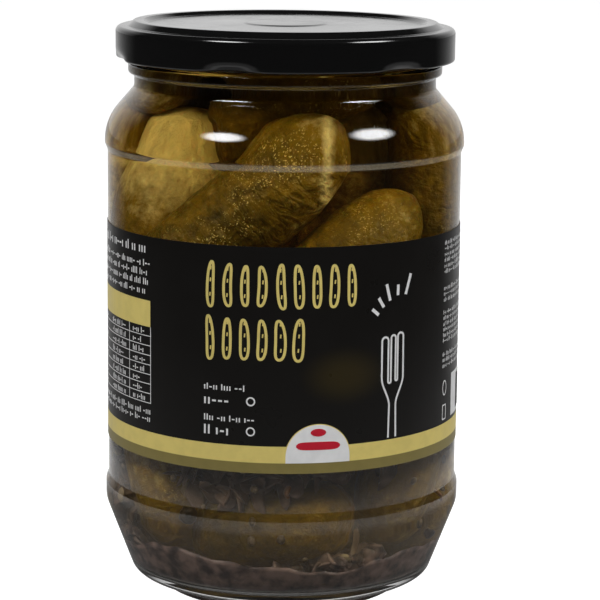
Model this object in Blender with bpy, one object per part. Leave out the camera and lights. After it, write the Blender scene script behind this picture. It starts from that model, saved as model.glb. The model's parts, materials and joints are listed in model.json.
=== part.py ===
"""A glass jar of gherkins with a twist-off lid and a film label.

The jar stands on the XY plane with its axis on Z, and the label's front faces -Y.
Lengths are metres: every size below is in millimetres times MM. An azimuth is an
angle about Z in degrees, 0 at the front and growing towards +X.
"""
import math

import bmesh
import bpy
import numpy as np

MM = 0.001
JAR_SIDES = 48                      # the label is wound in the same sides
LID_SIDES = 60                      # a whole number of sides from lug to lug
SMALL_FILLET = 1.0 * MM             # a smaller one is drawn as a chamfer, a larger one in two runs

# Glass jar, outside
GLASS_HEIGHT = 142.9 * MM
PUNT_RADIUS = 24.0 * MM             # flat middle of the pushed-up base
PUNT_HEIGHT = 2.6 * MM
FOOT_INNER_RADIUS = 28.6 * MM       # the ring that the jar stands on
FOOT_OUTER_RADIUS = 30.8 * MM
FOOT_HEIGHT = 1.1 * MM
HEEL_RADIUS = 38.4 * MM             # where the base turns up into the tapered wall
HEEL_HEIGHT = 4.2 * MM
RING_RADIUS = 45.3 * MM             # contact rings below and above the label
LOWER_RING = (22.3 * MM, 26.8 * MM)
UPPER_RING = (113.6 * MM, 119.0 * MM)
LOWER_STEP = 1.9 * MM               # height in which a ring falls back to the label panel
UPPER_STEP = 1.8 * MM
SHOULDER_FILLET = 13.0 * MM         # soft turn from the upper ring into the shoulder, inside and out
PANEL_RADIUS = 44.6 * MM            # straight wall that carries the label
NECK_RADIUS = 37.9 * MM
NECK_START = 127.6 * MM
BEAD_RADIUS = 39.4 * MM             # bead of glass just under the lid
BEAD_START = 130.6 * MM
BEAD_END = 133.4 * MM
FINISH_RADIUS = 38.6 * MM           # neck wall inside the lid

# Glass jar, inside
FLOOR_HEIGHT = 6.4 * MM
FLOOR_RADIUS = 36.0 * MM
BORE_RADIUS = 42.2 * MM
BORE_START = 22.0 * MM
BORE_END = 118.2 * MM
MOUTH_RADIUS = 35.3 * MM
MOUTH_START = 126.2 * MM

# Twist-off thread: one short sloping ridge over each lug of the lid
THREAD_DEPTH = 1.1 * MM
THREAD_HALF_WIDTH = 1.2 * MM
THREAD_HEIGHT = 137.9 * MM          # middle of a ridge
THREAD_RISE = 1.2 * MM              # how far a ridge climbs from one end to the other
THREAD_HALF_ANGLE = 26.0            # degrees
THREAD_ROWS = np.arange(135.5, 141.0, 0.9) * MM

# Lid
LID_TOP = 144.1 * MM
LID_BOTTOM = 134.5 * MM
LID_RADIUS = 42.5 * MM
SHEET = 0.55 * MM                   # lacquered steel, drawn thicker than it is
PANEL_DEPTH = 0.8 * MM              # lid's panel below its raised bead
LID_PANEL_RADIUS = 34.2 * MM
LID_BEAD = (35.6 * MM, 37.9 * MM)   # inner and outer edge of the raised bead
LEDGE_RADIUS = 39.5 * MM
LEDGE_HEIGHT = 142.8 * MM
SEAL_HEIGHT = 143.25 * MM           # underside of the sealing ring over the glass rim
BUTTON_RADIUS = 10.6 * MM
BUTTON_RISE = 0.25 * MM
CURL_THICKNESS = 1.5 * MM
LUG_COUNT = 6
LUG_AZIMUTH = -18.0                 # the lug left of the front
LUG_DEPTH = 1.9 * MM                # how far a lug is pressed in at the lid's lower edge
LUG_HEIGHT = 2.5 * MM
LUG_HALF_ANGLES = (1.5, 13.0)       # degrees: fully pressed, and where pressing starts

# Label
LABEL_BOTTOM = 38.8 * MM
LABEL_TOP = 94.0 * MM
LABEL_THICKNESS = 0.2 * MM
LABEL_GAP_SIDES = 2                 # sides of the jar left bare where its ends meet, at the back
TOUCH_GAP = 0.3 * MM                # between pieces that touch

# Gherkins. Each row: azimuth, turn of the lean, height of the middle, lean to the right in degrees,
# length, thickness, bow at the ends, distance in from the glass, and how square its ends are.
GHERKIN_ROWS = {
    "upper_left": (-80, -40, 87.0, 17, 62, 28, 3, 0, 3.6),
    "upper_front": (-25, -14, 96.6, 47, 64, 22.5, 5, 0, 4.0),
    "upper_right": (13, 8, 79.5, 44, 66, 24, 5, 0, 4.0),
    "upper_side": (80, 74, 88.5, 8, 66, 22, 3, 0, 3.6),
    "upper_back_right": (122, 122, 86, 20, 64, 22.5, 4, 0, 4.5),
    "upper_back": (170, 170, 88, 30, 66, 22, 5, 0, 4.5),
    "upper_back_left": (-142, -142, 84, 30, 64, 22, 5, 0, 4.5),
    "upper_left_rear": (-108, -108, 86, 10, 60, 21, 3, 0, 4.5),
    "upper_core_a": (105, 105, 86, 8, 62, 21, 2, 18, 4.5),
    "upper_core_b": (215, 215, 84, -14, 60, 21, 2, 21, 4.5),
    "top_back": (180, 180, 123, 86, 52, 20, 4, 0.8, 4.0),
    "top_left": (-112, -112, 121, 74, 46, 20, 4, 0, 4.0),
    "top_right": (118, 112, 122.5, 98, 46, 19, 4, 0, 4.0),
    "top_middle": (20, 20, 121, 70, 40, 19, 2, 13, 4.0),
    "lower_front": (-5, -16, 22.5, 76, 38, 21, 3, 2, 3.4),
    "lower_left": (-62, -62, 40, -18, 52, 21, 3, 1, 4.5),
    "lower_right": (65, 65, 42, 14, 52, 21, 3, 1, 4.0),
    "lower_side": (92, 92, 36, 12, 56, 21, 3, 0, 4.5),
    "lower_back_right": (133, 133, 36, -20, 58, 22, 3, 0, 4.5),
    "lower_back": (176, 176, 33, 24, 56, 21, 3, 0, 4.5),
    "lower_back_left": (-144, -144, 37, -16, 58, 22, 3, 0, 4.5),
    "lower_left_rear": (-104, -104, 36, 14, 56, 21, 3, 0, 4.5),
}
GHERKIN_SIDES = 10
GHERKIN_RINGS = 9
CORE_SQUARENESS = 5.0
GLASS_CLEARANCE = 0.5 * MM
CORE_RADIUS = 23.0 * MM
CORE_SPAN = (16.0 * MM, 121.0 * MM)


def clear_scene():
    for obj in list(bpy.data.objects):
        bpy.data.objects.remove(obj, do_unlink=True)


def finish_material(name, color, roughness, metallic=0.0, transmission=0.0, alpha=1.0):
    material = bpy.data.materials.new(name)
    material.use_nodes = True
    shader = material.node_tree.nodes["Principled BSDF"]
    shader.inputs["Base Color"].default_value = (*color, 1.0)
    shader.inputs["Roughness"].default_value = roughness
    shader.inputs["Metallic"].default_value = metallic
    shader.inputs["Transmission Weight"].default_value = transmission
    shader.inputs["Alpha"].default_value = alpha
    material.diffuse_color = (*color, alpha)
    return material


def place(name, bm, material):
    """Turn a bmesh into a smooth-shaded object of its own."""
    mesh = bpy.data.meshes.new(name)
    bm.to_mesh(mesh)
    bm.free()
    mesh.shade_smooth()
    mesh.set_sharp_from_angle(angle=math.radians(40))
    mesh.materials.append(material)
    obj = bpy.data.objects.new(name, mesh)
    bpy.context.scene.collection.objects.link(obj)
    return obj


def rounded(corners):
    """Points of a polyline (radius, height, fillet) with each corner replaced by its arc."""
    points = [corners[0][:2]]
    for before, here, after in zip(corners, corners[1:], corners[2:]):
        corner = np.array(here[:2])
        to_before = np.array(before[:2]) - corner
        to_after = np.array(after[:2]) - corner
        to_before /= np.linalg.norm(to_before)
        to_after /= np.linalg.norm(to_after)
        half = math.acos(np.clip(to_before @ to_after, -1, 1)) / 2
        fillet = here[2]
        if fillet == 0:
            points.append(tuple(corner))
            continue
        middle = to_before + to_after
        centre = corner + middle / np.linalg.norm(middle) * fillet / math.sin(half)
        start = corner + to_before * fillet / math.tan(half) - centre
        end = corner + to_after * fillet / math.tan(half) - centre
        turn = math.pi - 2 * half
        steps = 1 if fillet < SMALL_FILLET else 2
        for step in range(steps + 1):
            part = step / steps
            weights = math.sin((1 - part) * turn), math.sin(part * turn)
            points.append(tuple(centre + (weights[0] * start + weights[1] * end) / math.sin(turn)))
    points.append(corners[-1][:2])
    return points


def turned(profile, sides):
    """Spin a profile of (radius, height) about Z; both its ends lie on the axis."""
    bm = bmesh.new()
    verts = [bm.verts.new((radius, 0, height)) for radius, height in profile]
    edges = [bm.edges.new(pair) for pair in zip(verts, verts[1:])]
    bmesh.ops.spin(bm, geom=verts + edges, angle=math.tau, steps=sides, axis=(0, 0, 1),
                   cent=(0, 0, 0), use_merge=True)
    bmesh.ops.remove_doubles(bm, verts=bm.verts, dist=0.005 * MM)
    bmesh.ops.recalc_face_normals(bm, faces=bm.faces)
    return bm


def azimuth_of(point):
    return math.degrees(math.atan2(point.x, -point.y))


def from_lug(azimuth):
    """Degrees from the nearest lug's middle."""
    pitch = 360 / LUG_COUNT
    return (azimuth - LUG_AZIMUTH + pitch / 2) % pitch - pitch / 2


def move_out(vert, distance):
    radius = math.hypot(vert.co.x, vert.co.y)
    vert.co.x *= (radius + distance) / radius
    vert.co.y *= (radius + distance) / radius


def inside_corners():
    """The jar's inner wall from the middle of its floor up to the rim."""
    return [
        (0, FLOOR_HEIGHT, 0),
        (FLOOR_RADIUS, FLOOR_HEIGHT, 5 * MM),
        (BORE_RADIUS, BORE_START, 8 * MM),
        (BORE_RADIUS, BORE_END, SHOULDER_FILLET),
        (MOUTH_RADIUS, MOUTH_START, 3 * MM),
        (MOUTH_RADIUS, GLASS_HEIGHT, 1.4 * MM),
    ]


def outside_corners():
    """The jar's outer wall from the rim down to the middle of its base."""
    thread_rows = [(FINISH_RADIUS, height, 0) for height in THREAD_ROWS[::-1]]
    return [
        (FINISH_RADIUS, GLASS_HEIGHT, 1.4 * MM),
        *thread_rows,
        (FINISH_RADIUS, BEAD_END + 0.5 * MM, 0),
        (BEAD_RADIUS, BEAD_END, 0.6 * MM),
        (BEAD_RADIUS, BEAD_START + 0.6 * MM, 0.8 * MM),
        (NECK_RADIUS, BEAD_START, 0),
        (NECK_RADIUS, NECK_START, 1.6 * MM),
        (RING_RADIUS, UPPER_RING[1], SHOULDER_FILLET),
        (RING_RADIUS, UPPER_RING[0], 0.8 * MM),
        (PANEL_RADIUS, UPPER_RING[0] - UPPER_STEP, 0),
        (PANEL_RADIUS, LOWER_RING[1] + LOWER_STEP, 0),
        (RING_RADIUS, LOWER_RING[1], 0.8 * MM),
        (RING_RADIUS, LOWER_RING[0], 6 * MM),
        (HEEL_RADIUS, HEEL_HEIGHT, 2.5 * MM),
        (FOOT_OUTER_RADIUS + 0.3 * MM, FOOT_HEIGHT, 0),
        (FOOT_OUTER_RADIUS, 0, 0.4 * MM),
        (FOOT_INNER_RADIUS, 0, 0.4 * MM),
        (PUNT_RADIUS, PUNT_HEIGHT, 3 * MM),
        (0, PUNT_HEIGHT, 0),
    ]


def thread_height(azimuth):
    """Push of the thread ridges: a raised cosine across each sloping ridge."""
    offset = from_lug(azimuth)
    along = max(0.0, 1 - (offset / THREAD_HALF_ANGLE) ** 4)
    middle = THREAD_HEIGHT + THREAD_RISE / 2 * offset / THREAD_HALF_ANGLE
    return middle, along


def make_jar():
    bm = turned(rounded(inside_corners() + outside_corners()), JAR_SIDES)
    for vert in bm.verts:
        radius = math.hypot(vert.co.x, vert.co.y)
        if abs(radius - FINISH_RADIUS) > 0.05 * MM or vert.co.z < THREAD_ROWS[0] - 0.1 * MM:
            continue
        middle, along = thread_height(azimuth_of(vert.co))
        across = abs(vert.co.z - middle) / THREAD_HALF_WIDTH
        if across < 1:
            move_out(vert, THREAD_DEPTH * along * (0.5 + 0.5 * math.cos(math.pi * across)))
    glass = finish_material("clear_glass", (0.92, 0.96, 0.93), 0.03, transmission=0.9, alpha=0.35)
    return place("jar_glass", bm, glass)


def lid_corners():
    """The lid's section: out over the top, down the skirt, round the curl, back inside."""
    panel = LID_TOP - PANEL_DEPTH
    inner = LID_RADIUS - SHEET
    curl = LID_RADIUS - CURL_THICKNESS
    return [
        (0, panel + BUTTON_RISE, 0),
        (BUTTON_RADIUS - 1 * MM, panel + BUTTON_RISE, 0.6 * MM),
        (BUTTON_RADIUS, panel, 0.6 * MM),
        (LID_PANEL_RADIUS, panel, 0.6 * MM),
        (LID_BEAD[0], LID_TOP, 0.7 * MM),
        (LID_BEAD[1], LID_TOP, 0.9 * MM),
        (LEDGE_RADIUS, LEDGE_HEIGHT, 0),
        (LID_RADIUS, LEDGE_HEIGHT - 0.1 * MM, 1.3 * MM),
        (LID_RADIUS, LID_BOTTOM + LUG_HEIGHT, 0),
        (LID_RADIUS, LID_BOTTOM + LUG_HEIGHT / 2, 0),
        (LID_RADIUS, LID_BOTTOM, 0.7 * MM),
        (curl, LID_BOTTOM, 0.6 * MM),
        (curl, LID_BOTTOM + CURL_THICKNESS, 0),
        (inner, LID_BOTTOM + CURL_THICKNESS + 0.2 * MM, 0),
        (inner, LEDGE_HEIGHT - SHEET - 0.1 * MM, 0),
        (LEDGE_RADIUS - 0.3 * MM, LEDGE_HEIGHT - SHEET, 0),
        (LID_BEAD[1] + 0.4 * MM, SEAL_HEIGHT, 0),
        (LID_BEAD[0] + 0.3 * MM, SEAL_HEIGHT, 0),
        (LID_PANEL_RADIUS + 0.6 * MM, panel - SHEET, 0),
        (0, panel - SHEET, 0),
    ]


def make_lid():
    bm = turned(rounded(lid_corners()), LID_SIDES)
    full, none = LUG_HALF_ANGLES
    for vert in bm.verts:
        below = LID_BOTTOM + LUG_HEIGHT - vert.co.z
        if below <= 0:
            continue
        pressed = (none - abs(from_lug(azimuth_of(vert.co)))) / (none - full)
        pressed = min(1.0, max(0.0, pressed))
        move_out(vert, -LUG_DEPTH * pressed * (below / LUG_HEIGHT) ** 1.2)
    return place("lid", bm, finish_material("black_lacquer", (0.008, 0.008, 0.009), 0.22))


def make_label():
    """A film wound round the straight wall, open where its ends meet at the back."""
    inner = PANEL_RADIUS + TOUCH_GAP
    outer = inner + LABEL_THICKNESS
    half_gap = math.pi / JAR_SIDES * LABEL_GAP_SIDES
    start = math.pi / 2 + half_gap
    bm = bmesh.new()
    section = [(inner, LABEL_BOTTOM), (outer, LABEL_BOTTOM), (outer, LABEL_TOP), (inner, LABEL_TOP)]
    verts = [bm.verts.new((radius * math.cos(start), radius * math.sin(start), height))
             for radius, height in section]
    face = bm.faces.new(verts)
    bmesh.ops.spin(bm, geom=[face], angle=math.tau - 2 * half_gap, steps=JAR_SIDES - LABEL_GAP_SIDES,
                   axis=(0, 0, 1), cent=(0, 0, 0))
    bmesh.ops.recalc_face_normals(bm, faces=bm.faces)
    return place("label", bm, finish_material("printed_film", (0.012, 0.012, 0.013), 0.4))


def gherkin_bmesh(length, thickness, bow, squareness):
    """A sphere drawn out along Z: radius = thickness/2 * sqrt(1 - |t|^squareness), t = -1..1,
    with the middle line bent by bow * t^2 towards +Y."""
    bm = bmesh.new()
    bmesh.ops.create_uvsphere(bm, u_segments=GHERKIN_SIDES, v_segments=GHERKIN_RINGS + 1, radius=1)
    for vert in bm.verts:
        polar = math.acos(max(-1.0, min(1.0, vert.co.z)))
        u = 1 - 2 * polar / math.pi
        t = math.copysign(1 - (1 - abs(u)) ** 1.8, u)
        girth = math.sqrt(max(0.0, 1 - abs(t) ** squareness)) * thickness / 2
        round_ = math.hypot(vert.co.x, vert.co.y)
        across = (vert.co.x / round_, vert.co.y / round_) if round_ > 1e-6 else (0, 0)
        vert.co = (across[0] * girth, across[1] * girth + bow * t * t, t * length / 2)
    return bm


def seat_gherkin(row):
    """The gherkin as a bmesh, leant over, turned to its azimuth and slid out to the glass."""
    azimuth, turn, height, lean, length, thickness, bow, inset, squareness = row
    bm = gherkin_bmesh(length * MM, thickness * MM, bow * MM, squareness)
    points = np.array([vert.co[:] for vert in bm.verts])
    tilt = math.radians(lean)
    turn = math.radians(turn)
    azimuth = math.radians(azimuth)
    leant = np.column_stack([points[:, 0] * math.cos(tilt) + points[:, 2] * math.sin(tilt),
                             points[:, 1],
                             points[:, 2] * math.cos(tilt) - points[:, 0] * math.sin(tilt)])
    placed = np.column_stack([leant[:, 0] * math.cos(turn) - leant[:, 1] * math.sin(turn),
                              leant[:, 0] * math.sin(turn) + leant[:, 1] * math.cos(turn),
                              leant[:, 2] + height * MM])
    outward = np.array([math.sin(azimuth), -math.cos(azimuth), 0])
    wall = np.array([corner for corner in rounded(inside_corners())[1:]])
    wanted = GLASS_CLEARANCE + inset * MM
    for _ in range(6):
        room = np.interp(placed[:, 2], wall[:, 1], wall[:, 0]) - np.hypot(placed[:, 0], placed[:, 1])
        placed += outward * (room.min() - wanted)
        placed[:, 2] += max(0.0, FLOOR_HEIGHT + GLASS_CLEARANCE - placed[:, 2].min())
    for vert, point in zip(bm.verts, placed):
        vert.co = point
    return bm


def make_gherkins():
    """The heap: a plain core with every gherkin joined to it."""
    skin = finish_material("gherkin_skin", (0.22, 0.17, 0.03), 0.35)
    low, high = CORE_SPAN
    bm = gherkin_bmesh(high - low, 2 * CORE_RADIUS, 0, CORE_SQUARENESS)
    bmesh.ops.translate(bm, verts=bm.verts, vec=(0, 0, (low + high) / 2))
    heap = place("gherkins", bm, skin)
    pieces = bpy.data.collections.new("heap_pieces")
    bpy.context.scene.collection.children.link(pieces)
    for name, row in GHERKIN_ROWS.items():
        piece = place(name, seat_gherkin(row), skin)
        bpy.context.scene.collection.objects.unlink(piece)
        pieces.objects.link(piece)
    join = heap.modifiers.new("join", "BOOLEAN")
    join.operation = "UNION"
    join.operand_type = "COLLECTION"
    join.collection = pieces
    bpy.context.view_layer.objects.active = heap
    bpy.ops.object.modifier_apply(modifier=join.name)
    for piece in list(pieces.objects):
        bpy.data.objects.remove(piece, do_unlink=True)
    bpy.data.collections.remove(pieces)
    return heap


clear_scene()
make_jar()
make_lid()
make_label()
make_gherkins()
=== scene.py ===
"""Looks for the pickle jar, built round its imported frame. Lengths are in metres, and mm is a millimetre."""
import json
import math
import bpy
import numpy as np
from mathutils import Matrix, Vector

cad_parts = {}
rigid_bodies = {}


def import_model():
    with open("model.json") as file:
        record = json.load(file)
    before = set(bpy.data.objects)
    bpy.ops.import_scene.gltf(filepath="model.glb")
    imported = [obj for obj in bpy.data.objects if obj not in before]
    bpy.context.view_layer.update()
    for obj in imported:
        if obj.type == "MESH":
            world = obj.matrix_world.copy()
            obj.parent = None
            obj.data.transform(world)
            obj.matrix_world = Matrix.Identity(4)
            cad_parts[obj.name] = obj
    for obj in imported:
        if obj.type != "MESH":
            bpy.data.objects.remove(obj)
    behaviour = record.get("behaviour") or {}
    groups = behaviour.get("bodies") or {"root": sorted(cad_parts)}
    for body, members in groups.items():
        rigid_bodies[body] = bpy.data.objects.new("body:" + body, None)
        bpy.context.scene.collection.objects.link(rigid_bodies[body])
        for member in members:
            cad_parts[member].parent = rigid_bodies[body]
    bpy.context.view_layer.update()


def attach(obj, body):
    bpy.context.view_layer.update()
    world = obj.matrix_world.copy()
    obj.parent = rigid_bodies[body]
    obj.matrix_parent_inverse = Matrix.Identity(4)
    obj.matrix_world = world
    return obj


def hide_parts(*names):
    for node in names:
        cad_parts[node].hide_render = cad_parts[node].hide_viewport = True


for old in list(bpy.data.objects):
    bpy.data.objects.remove(old, do_unlink=True)
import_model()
mm = 0.001

# Glass jar.
# A pressed and blown flint-glass jar with a foot ring, two contact rings that keep the label off
# its neighbours, a sloping shoulder, a neck bead and six short thread ridges. One piece, turned about Z.

jar_sides = 256
glass_height = 142.9 * mm
foot_radius = 30.8 * mm
heel_radius = 38.4 * mm
ring_radius = 45.3 * mm
panel_radius = 44.6 * mm
panel_bottom, panel_top = 28.7 * mm, 111.8 * mm
neck_radius = 37.9 * mm
bead_radius = 39.4 * mm
finish_radius = 38.6 * mm
floor_height = 6.4 * mm
bore_radius = 42.2 * mm
mouth_radius = 35.3 * mm

inside_corners = [
    (0, floor_height, 0), (36.0 * mm, floor_height, 5 * mm), (bore_radius, 22.0 * mm, 8 * mm),
    (bore_radius, 118.2 * mm, 13 * mm), (mouth_radius, 126.2 * mm, 3 * mm),
    (mouth_radius, glass_height, 1.4 * mm),
]
thread_rows = np.arange(140.6, 135.0, -0.4) * mm
outside_corners = [
    (finish_radius, glass_height, 1.4 * mm), *((finish_radius, height, 0) for height in thread_rows),
    (finish_radius, 133.9 * mm, 0.3 * mm),
    (bead_radius, 133.4 * mm, 0.6 * mm), (bead_radius, 131.2 * mm, 0.8 * mm),
    (neck_radius, 130.6 * mm, 0.6 * mm), (neck_radius, 127.6 * mm, 1.6 * mm),
    (ring_radius, 119.0 * mm, 13 * mm), (ring_radius, 113.6 * mm, 1.6 * mm),
    (panel_radius, panel_top, 1.6 * mm), (panel_radius, panel_bottom, 0.4 * mm),
    (ring_radius, 26.8 * mm, 0.4 * mm), (ring_radius, 22.3 * mm, 6 * mm),
    (heel_radius, 4.2 * mm, 2.5 * mm), (foot_radius + 0.3 * mm, 1.1 * mm, 0.4 * mm),
    (foot_radius, 0, 0.4 * mm), (28.6 * mm, 0, 0.4 * mm), (24.0 * mm, 2.6 * mm, 3 * mm), (0, 2.6 * mm, 0),
]


def rounded(corners, step=math.radians(6)):
    """A polyline of (radius, height, fillet) with each corner replaced by its arc, which is swept evenly
    from one tangent point to the other: centre + fillet * (cos, sin)."""
    points = [np.array(corners[0][:2])[None]]
    for before, here, after in zip(corners, corners[1:], corners[2:]):
        corner = np.array(here[:2])
        ways = [np.array(p[:2]) - corner for p in (before, after)]
        ways = [w / np.linalg.norm(w) for w in ways]
        half = math.acos(np.clip(ways[0] @ ways[1], -1, 1)) / 2
        if here[2] == 0:
            points.append(corner[None])
            continue
        middle = (ways[0] + ways[1]) / np.linalg.norm(ways[0] + ways[1])
        centre = corner + middle * here[2] / math.sin(half)
        start, end = (corner + w * here[2] / math.tan(half) - centre for w in ways)
        turn = math.pi - 2 * half
        part = np.linspace(0, 1, max(2, math.ceil(turn / step)) + 1)[:, None]
        swept = np.sin((1 - part) * turn) * start + np.sin(part * turn) * end
        points.append(centre + swept / math.sin(turn))
    points.append(np.array(corners[-1][:2])[None])
    return np.concatenate(points)


def piece(name, verts, faces, material, slot, smooth=True, replaces=()):
    """A mesh object from arrays of points and faces, riding on the one body."""
    mesh = bpy.data.meshes.new(name)
    mesh.from_pydata(np.asarray(verts).tolist(), [], [f for part in faces for f in part.tolist()])
    mesh.validate()
    mesh.polygons.foreach_set("use_smooth", np.full(len(mesh.polygons), smooth))
    mesh.materials.append(material)
    obj = bpy.data.objects.new(name, mesh)
    bpy.context.scene.collection.objects.link(obj)
    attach(obj, "root")
    if replaces:
        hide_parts(*replaces)
    return obj


def closed_rows(rows, sides):
    """Faces between rows of a tube whose rows close on themselves: (rows - 1) x sides quads."""
    i, j = np.meshgrid(np.arange(rows - 1), np.arange(sides), indexing="ij")
    k = (j + 1) % sides
    row, above = i * sides, (i + 1) * sides
    return np.stack([row + j, row + k, above + k, above + j], -1).reshape(-1, 4)


def tube_faces(rows, sides):
    """Faces of a closed tube whose first and last rows shrink to the two points that follow the rows."""
    here = np.arange(sides)
    following = (here + 1) % sides
    last = (rows - 1) * sides
    low = np.stack([np.full(sides, rows * sides), following, here], -1)
    high = np.stack([np.full(sides, rows * sides + 1), last + here, last + following], -1)
    return [closed_rows(rows, sides), low, high]


def turned(profile, sides):
    """A solid of revolution: point(i, a) = (r_i cos a, r_i sin a, z_i), its first and last points being
    poles. The solid lies to the right of its profile, as of one that runs from the top down the outside."""
    angle = np.arange(sides) * math.tau / sides
    ring = np.stack([np.outer(profile[1:-1, 0], np.cos(angle)), np.outer(profile[1:-1, 0], np.sin(angle)),
                     np.repeat(profile[1:-1, 1:2], sides, 1)], -1).reshape(-1, 3)
    poles = np.array([[0, 0, profile[0, 1]], [0, 0, profile[-1, 1]]])
    return np.concatenate([ring, poles]), [part[:, ::-1] for part in tube_faces(len(profile) - 2, sides)]


def add(tree, kind, inputs=None, **settings):
    """A shader node; each input is set to a constant or linked from another node's socket."""
    made = tree.nodes.new("ShaderNode" + kind)
    for name, value in settings.items():
        setattr(made, name, value)
    for name, value in (inputs or {}).items():
        if isinstance(value, bpy.types.NodeSocket):
            tree.links.new(value, made.inputs[name])
        else:
            made.inputs[name].default_value = value
    return made


def noise(tree, scale, detail=2.0, roughness=0.5, vector=None):
    """Noise on object coordinates, or on another vector."""
    if vector is None:
        vector = add(tree, "TexCoord").outputs["Object"]
    made = add(tree, "TexNoise", {"Vector": vector, "Scale": scale, "Detail": detail, "Roughness": roughness})
    return made.outputs["Fac"]


def ranged(tree, value, low, high, to_low=0.0, to_high=1.0, **settings):
    """A value taken from one range to another, and clipped to it."""
    made = add(tree, "MapRange", {"Value": value, "From Min": low, "From Max": high,
                                  "To Min": to_low, "To Max": to_high}, **settings)
    return made.outputs[0]


def calc(tree, operation, *values, clamp=False):
    """The result of a Math node."""
    return add(tree, "Math", dict(enumerate(values)), operation=operation, use_clamp=clamp).outputs[0]


def bumped(tree, height, strength, distance, **inputs):
    """A normal bent by a height."""
    made = add(tree, "Bump", {"Height": height, "Strength": strength, "Distance": distance, **inputs})
    return made.outputs[0]


def output(tree, shader, kind="Surface"):
    """Makes a shader the material's surface or volume."""
    tree.links.new(shader, tree.nodes["Material Output"].inputs[kind])


def finish(name, **inputs):
    """A material with a Principled BSDF, its sockets named by words joined with _."""
    material = bpy.data.materials.new(name)
    material.use_nodes = True
    tree = material.node_tree
    shader = tree.nodes["Principled BSDF"]
    for key, value in inputs.items():
        shader.inputs[key.replace("_", " ")].default_value = value
    return material, tree, shader


def clear_material(name, ior, shade, wet):
    """Glass or liquid that bends what is seen through it, and lets lamps and soft light through unbent.
    Where glass and brine touch, the surface is wet: it bends light and has next to no gloss."""
    gloss = (0, 0, 0, 1) if wet else (1, 1, 1, 1)
    material, tree, shader = finish(name, Base_Color=(1, 1, 1, 1), Roughness=0.0, IOR=ior,
                                    Transmission_Weight=1.0, Specular_Tint=gloss)
    way = add(tree, "LightPath")
    either = calc(tree, "MAXIMUM", way.outputs["Is Shadow Ray"], way.outputs["Is Diffuse Ray"])
    through = add(tree, "BsdfTransparent", {"Color": (*shade, 1)})
    mix = add(tree, "MixShader", {0: either, 1: shader.outputs[0], 2: through.outputs[0]})
    output(tree, mix.outputs[0])
    return material, tree


glass_ior, brine_ior = 1.5, 1.34
flint_glass, tree = clear_material("flint_glass", glass_ior, (0.97, 0.98, 0.97), wet=False)
ripple = bumped(tree, noise(tree, 70.0), 1.0, 0.00006)
tree.links.new(ripple, tree.nodes["Principled BSDF"].inputs["Normal"])
wet_glass, _ = clear_material("wet_glass", glass_ior, (0.99, 0.99, 0.99), wet=True)
# Painted highlight for the step: clear glass mixed with a faint pale warm diffuse layer, mottled by noise.
scuffed_glass, tree = clear_material("scuffed_glass", glass_ior, (0.97, 0.98, 0.97), wet=False)
scuffs = ranged(tree, noise(tree, 90.0, 5.0, 0.7), 0.3, 0.7, 0.04, 0.15)
frost = add(tree, "BsdfDiffuse", {"Color": (0.84, 0.69, 0.42, 1)})
clear = tree.nodes["Material Output"].inputs["Surface"].links[0].from_socket
output(tree, add(tree, "MixShader", {0: scuffs, 1: clear, 2: frost.outputs[0]}).outputs[0])

inside_profile = rounded(inside_corners)
jar_profile = np.concatenate([inside_profile, rounded(outside_corners)])
verts, faces = turned(jar_profile, jar_sides)

# The thread: ridges that climb a little round the finish and taper off at both ends.
thread_height, thread_rise, thread_depth, thread_half_width = 137.9 * mm, 1.2 * mm, 1.1 * mm, 1.2 * mm
thread_azimuth, thread_pitch, thread_half_angle = -18.0, 60.0, 26.0
azimuth = np.degrees(np.arctan2(verts[:, 0], -verts[:, 1]))
offset = (azimuth - thread_azimuth + thread_pitch / 2) % thread_pitch - thread_pitch / 2
middle = thread_height + thread_rise / 2 * offset / thread_half_angle
across = np.clip(np.abs(verts[:, 2] - middle) / thread_half_width, 0, 1)
reach = np.hypot(verts[:, 0], verts[:, 1])
ridge = np.clip(1 - (offset / thread_half_angle) ** 4, 0, 1) * (0.5 + 0.5 * np.cos(math.pi * across))
ridge = np.where(np.abs(reach - finish_radius) < 0.05 * mm, ridge, 0) * thread_depth
verts[:, :2] *= (1 + ridge / np.maximum(reach, mm))[:, None]
jar_wall = piece("jar_wall", verts, faces, flint_glass, "glass", replaces=["jar_glass"])
jar_wall.data.materials.append(wet_glass)
jar_wall.data.materials.append(scuffed_glass)

# Inside, up to near the rim, the glass is wet. Outside, the step under the upper contact ring has a painted
# highlight: a faint, mottled, pale warm diffuse layer that stands for the light line the step bends.
middles = np.empty(len(jar_wall.data.polygons) * 3, dtype=np.float32)
jar_wall.data.polygons.foreach_get("center", middles)
middles = middles.reshape(-1, 3)
reach, height = np.hypot(middles[:, 0], middles[:, 1]), middles[:, 2]
inner = reach < np.interp(height, inside_profile[1:, 1], inside_profile[1:, 0]) + 0.3 * mm
inner &= (height > floor_height - 0.5 * mm) & (height < glass_height - 4 * mm)
step_foot, step_top = 112.0 * mm, 113.3 * mm
scuffed_step = ~inner & (height > step_foot) & (height < step_top)
jar_wall.data.polygons.foreach_set("material_index", inner * 1 + scuffed_step * 2)

# Gherkins.
# Small warty cucumbers, pressed upright and aslant against the glass. Each is a tapered body with a
# slight bow, a lobed girth, fine warts, a scar at its stem end and a nub where the flower was.

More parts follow.
